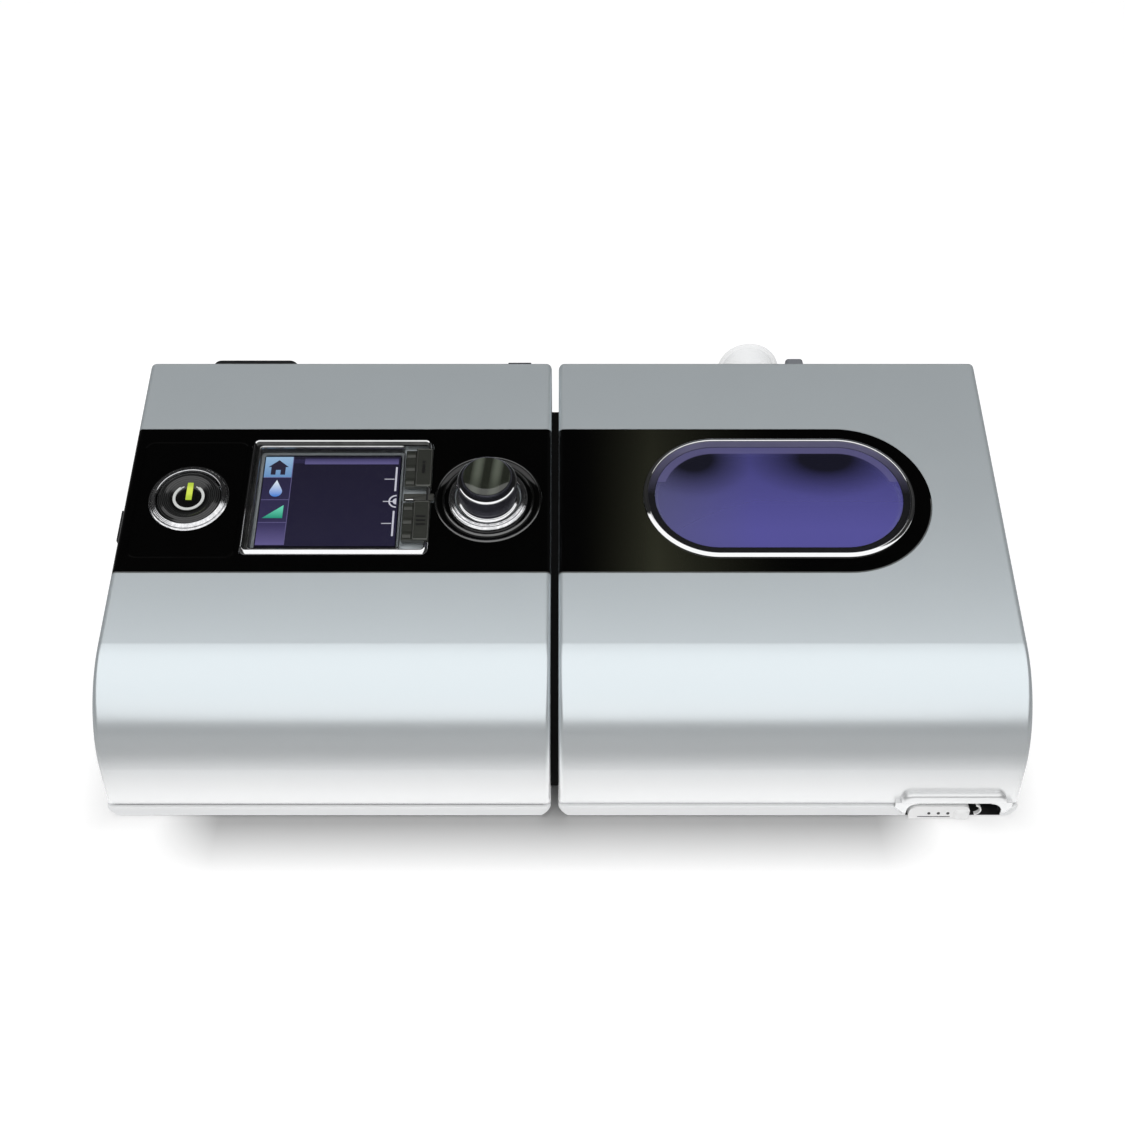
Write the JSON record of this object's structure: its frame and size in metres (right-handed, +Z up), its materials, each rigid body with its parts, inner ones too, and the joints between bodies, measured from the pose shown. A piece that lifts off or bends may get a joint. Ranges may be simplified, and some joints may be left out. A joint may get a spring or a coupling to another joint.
{
  "type": "cpap machine",
  "caption": "Bedside breathing-therapy machine: a wedge-shaped flow generator with screen, keys and push dial, docked to a heated humidifier with a windowed flip lid.",
  "frame": {"origin": "on the table under the middle of the whole machine, feet on the plane", "axes": "+X right from the flow generator to the humidifier, +Y towards the back where the air outlet is, +Z up"},
  "size_m": [0.2886, 0.1549, 0.0863],
  "materials": {
    "silver_paint": "metallic silver lacquer, semi-gloss",
    "black_gloss": "piano-black gloss",
    "base_plastic": "light grey, fine grain",
    "dark_plastic": "black, satin",
    "foot_rubber": "dark, matt",
    "bright_chrome": "polished",
    "button_black": "dark gloss",
    "light_guide": "translucent, lit yellow-green",
    "clear_lens": "clear, polished",
    "display": "colour display module",
    "key_dark": "dark olive grey, satin gloss",
    "knob_dark": "dark glossy plated",
    "knob_glass": "grey-green glassy cap",
    "steel": "plain",
    "board_green": "circuit board with soldered parts",
    "ribbon_grey": "flat cable",
    "card_blue": "memory card",
    "filter_foam": "pleated filter",
    "grey_foam": "open-cell foam",
    "housing_grey": "plain",
    "silicone": "translucent silicone",
    "copper_coil": "wound stator",
    "heater_aluminium": "satin",
    "element_amber": "film heater",
    "tub_blue": "clear blue-violet",
    "clear_plastic": "clear, slightly frosted",
    "liner_grey": "plain",
    "latch_white": "light, satin"
  },
  "bodies": {
    "generator": {"fg_base_tray": "base_plastic", "fg_feet": "foot_rubber", "fg_upper_case": "silver_paint", "fg_fascia": "black_gloss", "fg_dock_panel": "dark_plastic", "fg_screws": "steel", "start_ring": "bright_chrome", "screen_bezel": "bright_chrome", "screen_lens": "clear_lens", "lcd_module": "display", "dial_ring": "bright_chrome", "control_board": "board_green", "ribbon_cable": "ribbon_grey", "main_board": "board_green", "air_filter": "filter_foam", "muffler_foam": "grey_foam", "power_inlet": "dark_plastic", "blower_lower": "housing_grey", "blower_upper": "housing_grey", "motor_bearings": "steel", "motor_stator": "copper_coil", "blower_mount": "silicone", "outlet_duct": "silicone"},
    "start_button": {"start_button": "button_black", "start_light_guide": "light_guide"},
    "info_key": {"info_key": "key_dark"},
    "setup_key": {"setup_key": "key_dark"},
    "dial_push": {"dial_plunger": "dark_plastic"},
    "dial_knob": {"dial_knob": "knob_dark", "dial_cap": "knob_glass", "dial_shaft": "steel"},
    "impeller": {"impeller": "housing_grey", "motor_shaft": "steel"},
    "humidifier": {"hum_base_tray": "base_plastic", "hum_feet": "foot_rubber", "hum_chassis": "dark_plastic", "hum_screws": "steel", "hum_dock_panel": "dark_plastic", "hum_board": "board_green", "inlet_duct": "silicone", "heater_plate": "heater_aluminium", "heater_element": "element_amber", "water_tub": "tub_blue", "tub_seal": "silicone", "tub_lid": "clear_plastic", "hum_outlet_duct": "clear_plastic", "air_outlet": "clear_plastic", "tube_connector": "liner_grey", "lid_pins": "steel", "latch_spring": "steel"},
    "flip_lid": {"lid_shell": "silver_paint", "lid_fascia": "black_gloss", "window_ring": "bright_chrome", "window_lens": "clear_lens", "lid_liner": "liner_grey"},
    "latch": {"latch_slider": "latch_white"},
    "filter_cover": {"filter_cover": "dark_plastic"},
    "power_clip": {"power_clip": "dark_plastic"},
    "card_cover": {"sd_cover": "dark_plastic"},
    "memory_card": {"sd_card": "card_blue"}
  },
  "joints": [
    {"name": "start_press", "type": "slide", "parent": "generator", "child": "start_button", "axis": [0, 0.3007, -0.9537], "range_m": [0, 0.0005], "stiffness_N_per_m": 1000, "springref_m": -0.0005},
    {"name": "info_press", "type": "slide", "parent": "generator", "child": "info_key", "axis": [0, 0.3007, -0.9537], "range_m": [0, 0.0005], "stiffness_N_per_m": 800, "springref_m": -0.0005},
    {"name": "setup_press", "type": "slide", "parent": "generator", "child": "setup_key", "axis": [0, 0.3007, -0.9537], "range_m": [0, 0.0005], "stiffness_N_per_m": 800, "springref_m": -0.0005},
    {"name": "dial_press", "type": "slide", "parent": "generator", "child": "dial_push", "axis": [0, 0.3007, -0.9537], "range_m": [0, 0.0005], "stiffness_N_per_m": 1500, "springref_m": -0.0005},
    {"name": "dial_turn", "type": "hinge", "parent": "dial_push", "child": "dial_knob", "pos_m": [-0.0238, 0.00035, 0.06877], "axis": [0, -0.3007, 0.9537], "continuous": true},
    {"name": "fan_spin", "type": "hinge", "parent": "generator", "child": "impeller", "pos_m": [-0.06306, -0.0018, 0.03], "axis": [0, 0, 1], "continuous": true},
    {"name": "humidifier_undock", "type": "slide", "parent": "generator", "child": "humidifier", "axis": [1, 0, 0], "range_m": [0, 0.03]},
    {"name": "lid_flip", "type": "hinge", "parent": "humidifier", "child": "flip_lid", "pos_m": [0.075, 0.053, 0.08183], "axis": [-1, 0, 0], "range_deg": [0, 100]},
    {"name": "latch_slide", "type": "slide", "parent": "humidifier", "child": "latch", "axis": [1, 0, 0], "range_m": [0, 0.006], "stiffness_N_per_m": 300, "springref_m": -0.002, "deforming": ["latch_spring"]},
    {"name": "filter_cover_pull", "type": "slide", "parent": "generator", "child": "filter_cover", "axis": [0, 1, 0], "range_m": [0, 0.025]},
    {"name": "power_clip_swing", "type": "hinge", "parent": "generator", "child": "power_clip", "pos_m": [-0.0144, 0.0604, 0.07903], "axis": [1, 0, 0], "range_deg": [0, 90]},
    {"name": "card_cover_swing", "type": "hinge", "parent": "generator", "child": "card_cover", "pos_m": [-0.1419, -0.00208, 0.04787], "axis": [0, -0.9537, -0.3007], "range_deg": [0, 100]},
    {"name": "card_push", "type": "slide", "parent": "generator", "child": "memory_card", "axis": [1, 0, 0], "range_m": [0, 0.001], "stiffness_N_per_m": 600, "springref_m": -0.0005}
  ]
}
